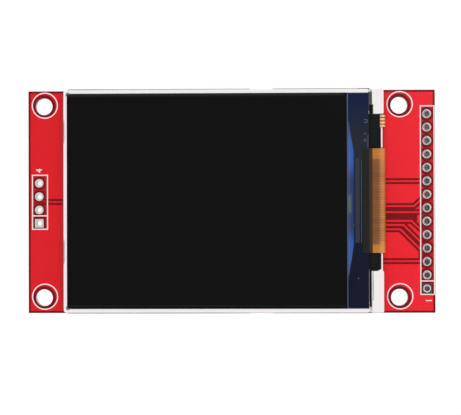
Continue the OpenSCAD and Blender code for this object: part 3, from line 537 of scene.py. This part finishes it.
@dataclass(frozen=True)
class AmberFilm(Finish):
    """Polyimide tail: amber, nearly black over the glass, with fine copper lines across it."""

    lined: Colour = tone(142, 84, 38)
    bend: Colour = tone(232, 142, 56)
    dusk: Colour = tone(66, 46, 26)
    shaded: Colour = tone(27, 29, 25)
    groove: Colour = tone(70, 38, 20)
    copper_part: Span = Span(-8.1, 7.9, 0.12)
    line_part: Span = Span(-7.6, 7.6, 0.1)
    pitch: float = 0.305
    to_bend: Rise = Rise(29.5, 30.4)
    to_dusk: Rise = Rise(28.65, 28.35)
    to_shade: Rise = Rise(28.05, 27.75)

    def lines(self, sketch: Sketch) -> Wire:
        """1 in the dark gaps between the copper lines."""
        _, y, _ = sketch.parts(sketch.place())
        wide = sketch.noise(0.8, stretch=(40, 1, 40), seed=4.2).between(0.2, 1.1)
        return y.wave(self.pitch) ** 3 * wide * self.line_part.mask(y)

    def tint(self, sketch: Sketch) -> Wire:
        """Amber with dark gaps, brightest round the bend."""
        x, y, _ = sketch.parts(sketch.place())
        film = sketch.mix(self.copper_part.mask(y), self.colour, self.lined)
        film = sketch.mix(self.to_bend.mask(x) * 0.75, film, self.bend)
        broad = sketch.noise(1.1, stretch=(60, 1, 60), seed=9.0).between(0.55, 1.35)
        film = sketch.shade(film, broad)
        film = sketch.mix(self.lines(sketch) * 0.85, film, self.groove)
        film = sketch.mix(self.to_dusk.mask(x), film, self.dusk)
        return sketch.mix(self.to_shade.mask(x), film, self.shaded)

    def height(self, sketch: Sketch) -> Wire:
        """Fine ridges of the copper lines."""
        return 1 - self.lines(sketch)


@dataclass(frozen=True)
class FrameWhite(Finish):
    """Milky moulded plastic, with painted shade on its upright walls and a painted shadow in the gap
    beside the glass.
    """

    # Painted shadow: the grey of the gap between the glass and the corner block.
    grey: Colour = tone(104, 104, 110)
    pocket_shadow: Patch = Patch(Span(27.7, 28.42), Span(17.0, 20.55, 0.1))
    # Painted shade: upright walls are made darker than flat tops.
    to_flat: Rise = Rise(0.1, 0.8)
    wall_shade: float = 0.93

    def tint(self, sketch: Sketch) -> Wire:
        """White, softly mottled, with painted shade on the walls and a painted shadow in the gap
        beside the glass.
        """
        x, y, _ = sketch.parts(sketch.place())
        _, _, up = sketch.facing()
        base = sketch.shade(self.colour, sketch.noise(1.6).between(0.965, 1.015))
        # Painted shade on the upright walls.
        base = sketch.shade(base, self.to_flat.mask(abs(up)).between(self.wall_shade, 1))
        # Painted shadow in the gap between the glass and the corner block.
        return sketch.mix(self.pocket_shadow.mask(x, y), base, self.grey)


@dataclass(frozen=True)
class BrushedSteel(Finish):
    """Rolled sheet, with fine lines along one direction."""

    def height(self, sketch: Sketch) -> Wire:
        """Fine rolling lines."""
        return sketch.noise(0.12, stretch=self.stretch, detail=4, seed=8.0)


@dataclass(frozen=True)
class TraySteel(BrushedSteel):
    """Folded steel whose rims are dull in some stretches and bright in others."""

    dull: Colour = tone(92, 92, 96)
    rim_y: float = 20.0
    upper_left: Rise = Rise(-16.0, -27.0)
    upper_right: Span = Span(25.8, 28.6, 0.2)
    lower_left: Rise = Rise(6.0, -6.0)
    lower_share: float = 0.8

    def tint(self, sketch: Sketch) -> Wire:
        """Dull along the upper left, the upper right corner and the lower left."""
        x, y, _ = sketch.parts(sketch.place())
        upper = (y > self.rim_y) * self.upper_left.mask(x).most(self.upper_right.mask(x))
        lower = (y < -self.rim_y) * self.lower_left.mask(x) * self.lower_share
        return sketch.mix(upper.most(lower), self.colour, self.dull)


@dataclass(frozen=True)
class TabGold(Finish):
    """Tab of the lamp strip: black cover film, then gold pads side by side round the bend."""

    film: Colour = tone(20, 20, 20)
    gap: Colour = tone(120, 70, 36)
    past_film: Rise = Rise(29.9, 30.05)
    middle_y: float = 15.1
    pitch: float = 0.625
    pad_edge: Rise = Rise(0.16, 0.3)

    def tint(self, sketch: Sketch) -> Wire:
        """Black film up to the bend, then gold with dark gaps."""
        x, y, _ = sketch.parts(sketch.place())
        wave = (y - self.middle_y + self.pitch / 2).wave(self.pitch)
        pads = sketch.mix(self.pad_edge.mask(wave), self.gap, self.colour)
        return sketch.mix(self.past_film.mask(x), self.film, pads)


@dataclass(frozen=True)
class HeaderPin(Finish):
    """Gold pin, tinned where it was soldered."""

    tinned: Colour = tone(190, 188, 190)
    to_tin: Rise = Rise(0.2, 0.4)

    def tint(self, sketch: Sketch) -> Wire:
        """Gold below the board, tin-grey above it."""
        _, _, z = sketch.parts(sketch.place())
        tin = sketch.shade(self.tinned, sketch.noise(0.3, seed=6.0).between(0.6, 1.1))
        return sketch.mix(self.to_tin.mask(z), self.colour, tin)


@dataclass(frozen=True)
class Lamp(Finish):
    """Small lamp: a white body with a yellow window on the side that faces the light guide."""

    window: Colour = tone(236, 196, 60)
    window_limit: float = -0.5

    def tint(self, sketch: Sketch) -> Wire:
        """Yellow on the face that looks along -X, white elsewhere."""
        across, _, _ = sketch.facing()
        glow = sketch.shade(self.window, sketch.noise(0.1).between(0.85, 1.15))
        return sketch.mix(across < self.window_limit, self.colour, glow)


class Slot(Enum):
    """Finishes of the solids, by the record's material slots."""

    LAMINATE = SolderMask("red_solder_mask", "laminate", tone(232, 14, 28), 0.2, specular=0.4,
                          uneven_gloss=0.03, bump_height=0.004)
    LEGEND_INK = Finish("legend_ink", "legend_ink", tone(252, 226, 228), 0.6, bump_grain=0.1,
                        bump_height=0.003, mottle_grain=0.3)
    TINNED_PAD = Finish("tinned_pad", "tinned_pad", tone(240, 232, 230), 0.5, 0.55, bump_grain=0.3,
                        bump_height=0.012)
    HEADER_PLASTIC = Finish("header_plastic", "header_plastic", tone(24, 24, 25), 0.48,
                            bump_grain=0.12, bump_height=0.006)
    PIN_GOLD = HeaderPin("pin_gold", "pin_gold", tone(232, 190, 108), 0.25, 1.0, stretch=(1, 1, 6),
                         bump_height=0.003)
    SOLDER = Finish("bright_solder", "solder", tone(226, 226, 228), 0.16, 1.0, uneven_gloss=0.08,
                    bump_grain=0.35, bump_height=0.02, mottle=0.08, mottle_grain=0.6)
    TRAY_STEEL = TraySteel("tray_steel", "tray_steel", tone(226, 226, 227), 0.38, 0.9,
                           stretch=(12, 1, 1), bump_height=0.002)
    FRAME_WHITE = FrameWhite("frame_white", "frame_white", tone(247, 242, 242), 0.42,
                             bump_grain=0.2, bump_height=0.003)
    REFLECTOR_FILM = Finish("reflector_film", "reflector_film", tone(240, 242, 244), 0.3, 0.2)
    CLEAR_ACRYLIC = Finish("clear_acrylic", "clear_acrylic", tone(232, 240, 240), 0.12, ior=1.49,
                           transmission=0.6, bump_height=0.001)
    DIFFUSER_FILM = Finish("diffuser_film", "diffuser_film", tone(238, 238, 236), 0.7)
    PRISM_FILM = BrushedSteel("prism_film", "prism_film", tone(214, 218, 224), 0.22, 0.15,
                              stretch=(20, 1, 1), bump_height=0.003)
    BLACK_TAPE = Finish("black_tape", "black_tape", tone(14, 14, 15), 0.55, specular=0.3,
                        bump_grain=0.5, bump_height=0.01)
    POLARISER_FILM = Polariser("polariser_film", "polariser_film", tone(15, 15, 16), 0.14,
                               specular=0.45, uneven_gloss=0.02, bump_height=0.0005, bump_grain=1.5)
    DARK_GLASS = DarkGlass("dark_glass", "dark_glass", tone(44, 47, 52), 0.07, uneven_gloss=0.02,
                           bump_height=0.0004, bump_grain=2.0)
    CHIP_SILICON = Finish("chip_silicon", "chip_silicon", tone(66, 64, 82), 0.22, 0.35, mottle=0.12,
                          mottle_grain=1.2, stretch=(1, 3, 1), bump_height=0.001)
    # Its colour is the bright blue of the painted reflection on the bead.
    BLUE_RESIN = BlueResin("blue_resin", "blue_resin", tone(28, 84, 168), 0.2, coat=0.4,
                           bump_grain=0.5, bump_height=0.02)
    AMBER_FILM = AmberFilm("amber_film", "amber_film", tone(188, 118, 40), 0.3, coat=0.25,
                           bump_height=0.012)
    STRIP_GOLD = TabGold("strip_gold", "strip_gold", tone(252, 206, 150), 0.4, 0.35,
                         bump_height=0.004)
    LAMP_YELLOW = Lamp("lamp_body", "lamp_yellow", tone(240, 238, 230), 0.4)
    FOAM = Finish("foam", "foam", tone(70, 70, 72), 0.95, specular=0.1, bump_grain=0.15,
                  bump_height=0.05, mottle=0.12, mottle_grain=0.3)
    SOCKET_PLASTIC = Finish("socket_plastic", "socket_plastic", tone(28, 28, 30), 0.45,
                            bump_grain=0.15, bump_height=0.006)
    SOCKET_STEEL = BrushedSteel("socket_steel", "socket_steel", tone(205, 205, 206), 0.26, 1.0,
                                stretch=(14, 1, 1), bump_height=0.002)
    CONTACT_GOLD = Finish("contact_gold", "contact_gold", tone(236, 196, 118), 0.22, 1.0,
                          stretch=(6, 1, 1), bump_height=0.002)
    PACKAGE_BLACK = Finish("package_black", "package_black", tone(34, 34, 36), 0.6, bump_grain=0.08,
                           bump_height=0.01)
    CERAMIC_TAN = Finish("ceramic_tan", "ceramic_tan", tone(176, 140, 102), 0.42, bump_grain=0.1,
                         bump_height=0.006, mottle=0.08, mottle_grain=0.4)
    RESISTOR_BLACK = Finish("resistor_black", "resistor_black", tone(26, 26, 30), 0.3, bump_grain=0.1,
                            bump_height=0.004)

    @property
    def label(self) -> str:
        """The record's name of the slot."""
        return self.value.slot


FILTER_GLASS = FilterGlass("filter_glass", "dark_glass", tone(15, 15, 16), 0.1, uneven_gloss=0.02,
                           bump_height=0.0004, bump_grain=2.0)
MARK_METAL = Finish("mark_metal", "dark_glass", tone(122, 126, 140), 0.3, 0.5, bump_height=0.001)


class Palette:
    """Makes each finish's material once and hands it out."""

    def __init__(self) -> None:
        """Starts with no material made."""
        self.made: dict[str, bpy.types.Material] = {}

    def __getitem__(self, finish: Finish) -> bpy.types.Material:
        """The material of a finish."""
        if finish.name not in self.made:
            self.made[finish.name] = finish.material()
        return self.made[finish.name]

    def dress(self, piece: bpy.types.Object, finish: Finish) -> None:
        """Gives all of a piece one finish.

        Args:
            piece: The object.
            finish: Its finish.
        """
        material = self[finish]
        if not piece.data.materials:
            piece.data.materials.append(material)
        for place in piece.material_slots:
            place.material = material


# ----------------------------------------------------------------- bench tools


def clear_selection() -> None:
    """Leaves edit mode and deselects everything."""
    if bpy.context.object and bpy.context.object.mode != "OBJECT":
        bpy.ops.object.mode_set(mode="OBJECT")
    bpy.ops.object.select_all(action="DESELECT")


def hold(piece: bpy.types.Object) -> None:
    """Makes a piece the only one that is selected, and the active one."""
    clear_selection()
    piece.select_set(True)
    bpy.context.view_layer.objects.active = piece


def settle(piece: bpy.types.Object, name: str) -> bpy.types.Object:
    """Names a piece and puts its place, turn and size into its mesh."""
    hold(piece)
    bpy.ops.object.transform_apply(location=True, rotation=True, scale=True)
    piece.name = name
    piece.data.name = name
    return piece


def join(pieces: Sequence[bpy.types.Object], name: str) -> bpy.types.Object:
    """Joins several pieces into one."""
    hold(pieces[0])
    for piece in pieces[1:]:
        piece.select_set(True)
    if len(pieces) > 1:
        bpy.ops.object.join()
    return settle(pieces[0], name)


def add_block(low: Sequence[float], high: Sequence[float]) -> bpy.types.Object:
    """A block between two corners.

    Args:
        low: Lowest corner, in millimetres.
        high: Highest corner, in millimetres.

    Returns:
        The block.
    """
    clear_selection()
    size = [(b - a) * MM for a, b in zip(low, high)]
    middle = [(a + b) / 2 * MM for a, b in zip(low, high)]
    bpy.ops.mesh.primitive_cube_add(size=1, location=middle)
    block = bpy.context.object
    block.scale = size
    bpy.ops.object.transform_apply(location=False, rotation=False, scale=True)
    return block


# ---------------------------------------------------------------- sub-assemblies


@dataclass
class Assembly:
    """A group of pieces that this script adds or dresses."""

    palette: Palette
    pieces: list[bpy.types.Object] = field(default_factory=list)

    def keep(self, piece: bpy.types.Object, finish: Finish, slot: Slot) -> None:
        """Dresses a new piece, lets it ride on the part and notes it.

        Args:
            piece: The new piece.
            finish: Its finish.
            slot: The record's slot that goes with the finish; not used.
        """
        self.palette.dress(piece, finish)
        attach(piece, BODY)
        self.pieces.append(piece)


@dataclass
class Solids(Assembly):
    """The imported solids, each with the finish of its slot."""

    special: dict[str, Finish] = field(
        default_factory=lambda: {"colour_filter_glass": FILTER_GLASS})

    def build(self, frame: dict[str, Any]) -> None:
        """Dresses every solid by the record's list of parts.

        Args:
            frame: What loading the part returned.
        """
        finishes = {slot.label: slot.value for slot in Slot}
        by_node = {part["node"]: part["material_slot"] for part in frame["record"]["subparts"]}
        for name, node in frame["nodes"].items():
            finish = self.special.get(name) or finishes[by_node[name]]
            self.palette.dress(node, finish)
            self.pieces.append(node)


class Number(NamedTuple):
    """One printed number, and the place of its middle."""

    text: str
    piece: str
    x: float
    y: float


@dataclass
class PinNumbers(Assembly):
    """Printed numbers beside the last card pin and the first header pin."""

    numbers: tuple[Number, ...] = (Number("4", "card_header_number", -34.62, 5.98),
                                   Number("1", "pin_header_number", 39.3, -18.8))
    turn: float = 90.0
    font_size: float = 1.62
    swell: float = 0.02
    ink_t: float = 0.03
    board_t: float = 1.6

    def build(self) -> None:
        """Prints every number, so that it reads upwards."""
        for number in self.numbers:
            self.print_one(number)

    def print_one(self, number: Number) -> None:
        """Prints one number on the board.

        Args:
            number: The number and its place.
        """
        clear_selection()
        ink_z = self.board_t + self.ink_t / 2
        bpy.ops.object.text_add(location=(number.x * MM, number.y * MM, ink_z * MM),
                                rotation=(0, 0, math.radians(self.turn)))
        label = bpy.context.object
        label.data.body = number.text
        label.data.size = self.font_size * MM
        label.data.align_x = "CENTER"
        label.data.align_y = "CENTER"
        label.data.extrude = self.ink_t / 2 * MM
        label.data.offset = self.swell * MM
        bpy.ops.object.convert(target="MESH")
        printed = settle(bpy.context.object, number.piece)
        self.keep(printed, Slot.LEGEND_INK.value, Slot.LEGEND_INK)


class Bar(NamedTuple):
    """A flat mark between its lowest and highest corners, seen from above."""

    x0: float
    y0: float
    x1: float
    y1: float


@dataclass
class LedgeMarks(Assembly):
    """Thin metal marks on the glass ledge, for lining up the chip and the tail."""

    film_t: float = 0.012
    glass_top: float = 4.55
    hook: tuple[Bar, ...] = (Bar(26.95, 15.2, 27.6, 15.32), Bar(26.95, 14.7, 27.6, 14.82),
                             Bar(27.48, 14.7, 27.62, 15.32))
    tick_ends: tuple[float, float] = (26.9, 27.35)
    tick_w: float = 0.1
    tick_rows: tuple[float, ...] = (9.3, 9.62, 11.2, 11.5, 12.6)
    rail: Bar = Bar(27.62, 9.4, 27.7, 12.4)
    dots: tuple[Bar, ...] = (Bar(25.7, -14.6, 25.92, -14.4), Bar(24.9, -4.55, 25.05, -4.4))
    chip_line: Bar = Bar(26.36, -7.8, 26.42, 7.8)

    def build(self) -> None:
        """Lays a hook, ticks and a rail at the upper half, two dots and the chip's line."""
        start, end = self.tick_ends
        ticks = [Bar(start, y, end, y + self.tick_w) for y in self.tick_rows]
        bars = [*self.hook, *ticks, self.rail, *self.dots, self.chip_line]
        top = self.glass_top + self.film_t
        parts = [add_block((bar.x0, bar.y0, self.glass_top), (bar.x1, bar.y1, top))
                 for bar in bars]
        self.keep(join(parts, "ledge_marks"), MARK_METAL, Slot.DARK_GLASS)


# ----------------------------------------------------------------------- studio


@dataclass(frozen=True)
class SoftLamp:
    """A square soft lamp that points at the part; its place and side are in metres."""

    name: str
    place: tuple[float, float, float]
    size: float
    power: float
    in_gloss: bool = True

    def hang(self) -> None:
        """Adds the lamp to the scene."""
        data = bpy.data.lights.new(self.name, "AREA")
        data.shape = "SQUARE"
        data.size = self.size
        data.energy = self.power
        lamp = bpy.data.objects.new(self.name, data)
        bpy.context.scene.collection.objects.link(lamp)
        lamp.location = self.place
        lamp.rotation_euler = (-Vector(self.place)).to_track_quat("-Z", "Y").to_euler()
        lamp.visible_glossy = self.in_gloss


@dataclass
class Studio:
    """Floor, light and camera. The floor's size is in metres."""

    floor_size: float = 3.0
    floor_tone: Colour = (0.85, 0.85, 0.85)
    floor_grain: float = 60.0
    white_share: float = 0.9
    white_strength: float = 1.07
    lamps: tuple[SoftLamp, ...] = (
        SoftLamp("top_lamp", (0.0, 0.0, 0.8), 0.7, 3.6, in_gloss=False),
        SoftLamp("key_lamp", (0.28, 0.2, 0.55), 0.5, 0.35),
        SoftLamp("fill_lamp", (-0.4, -0.25, 0.45), 0.5, 0.2))
    sky: float = 0.42
    hood: Rise = Rise(0.70, 0.88)
    hood_level: float = 0.06
    camera_height: float = 300.0
    camera_shift: tuple[float, float] = (-1.723, 1.09)
    camera_turn: tuple[float, float, float] = (-0.401, -1.549, 0.153)
    camera_scale: float = 5.241
    image_w: int = 461
    sensor_w: float = 36.0
    clip_start: float = 0.01

    def build(self, lowest: float) -> None:
        """Sets up the studio round the part.

        Args:
            lowest: Height of the floor, in metres.
        """
        self.lay_floor(lowest)
        self.light_world()
        for lamp in self.lamps:
            lamp.hang()
        self.set_camera()
        bpy.context.scene.view_settings.view_transform = "Standard"

    @staticmethod
    def rays(sketch: Sketch) -> tuple[Wire, Wire]:
        """Sorts the rays.

        Args:
            sketch: The node tree that asks.

        Returns:
            1 for glossy rays, and 1 for all that the camera sees, also in gloss or through glass.
        """
        path = sketch.node("ShaderNodeLightPath")
        camera, glossy, through = (Wire(sketch, path.outputs[name]) for name in (
            "Is Camera Ray", "Is Glossy Ray", "Is Transmission Ray"))
        return glossy, camera.most(glossy).most(through)

    def lay_floor(self, lowest: float) -> None:
        """Lays a pale floor that keeps the part's shadow."""
        clear_selection()
        bpy.ops.mesh.primitive_plane_add(size=self.floor_size, location=(0, 0, lowest))
        floor = bpy.context.object
        floor.name = "floor"
        material = bpy.data.materials.new("pale_floor")
        material.use_nodes = True
        sketch = Sketch(material.node_tree)
        cloud = sketch.noise(self.floor_grain).between(0.99, 1.01)
        paper = sketch.wire("ShaderNodeBsdfDiffuse", {}, {
            "Color": sketch.shade(self.floor_tone, cloud)})
        white = sketch.wire("ShaderNodeEmission", {}, {
            "Color": (1, 1, 1), "Strength": self.white_strength})
        shown = sketch.wire("ShaderNodeMixShader", {}, {0: self.white_share, 1: paper, 2: white})
        _, seen = self.rays(sketch)
        surface = sketch.wire("ShaderNodeMixShader", {}, {0: seen, 1: paper, 2: shown})
        sketch.node("ShaderNodeOutputMaterial", {}, {"Surface": surface})
        floor.data.materials.append(material)
        floor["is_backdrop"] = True

    def light_world(self) -> None:
        """A white surround with a dark hood overhead that shows only in gloss."""
        world = bpy.data.worlds.new("studio")
        bpy.context.scene.world = world
        world.use_nodes = True
        sketch = Sketch(world.node_tree)
        glossy, seen = self.rays(sketch)
        split = sketch.node("ShaderNodeSeparateXYZ", {}, {
            0: sketch.wire("ShaderNodeTexCoord", output="Generated")})
        up = Wire(sketch, split.outputs[2])
        dark = self.hood.mask(up) * glossy * (1 - self.hood_level)
        strength = seen * (1 - dark) + (1 - seen) * self.sky
        surround = sketch.wire("ShaderNodeBackground", {}, {
            "Color": (1, 1, 1), "Strength": strength})
        sketch.node("ShaderNodeOutputWorld", {}, {"Surface": surround})

    def set_camera(self) -> None:
        """Looks straight down at the display, a little off square."""
        turn = Euler([math.radians(a) for a in self.camera_turn], "XYZ").to_matrix().transposed()
        stand = Vector((-self.camera_shift[0], -self.camera_shift[1], self.camera_height)) * MM
        data = bpy.data.cameras.new("camera")
        data.sensor_width = self.sensor_w
        data.lens = self.camera_scale * self.camera_height * self.sensor_w / self.image_w
        data.clip_start = self.clip_start
        camera = bpy.data.objects.new("camera", data)
        bpy.context.scene.collection.objects.link(camera)
        camera.matrix_world = Matrix.Translation(turn @ stand) @ turn.to_4x4()
        bpy.context.scene.camera = camera


def main() -> None:
    """Builds the dressed part and its studio, in order."""
    logging.basicConfig(level=logging.INFO, format="%(message)s")
    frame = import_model()
    solid_box = [list(corner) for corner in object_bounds()]
    palette = Palette()
    solids = Solids(palette)
    solids.build(frame)
    numbers = PinNumbers(palette)
    numbers.build()
    marks = LedgeMarks(palette)
    marks.build()
    for group in (solids, numbers, marks):
        for piece in group.pieces:
            LOG.info("%s: %s", type(group).__name__, piece.name)
    Studio().build(solid_box[0][2])


if __name__ == "__main__":
    main()
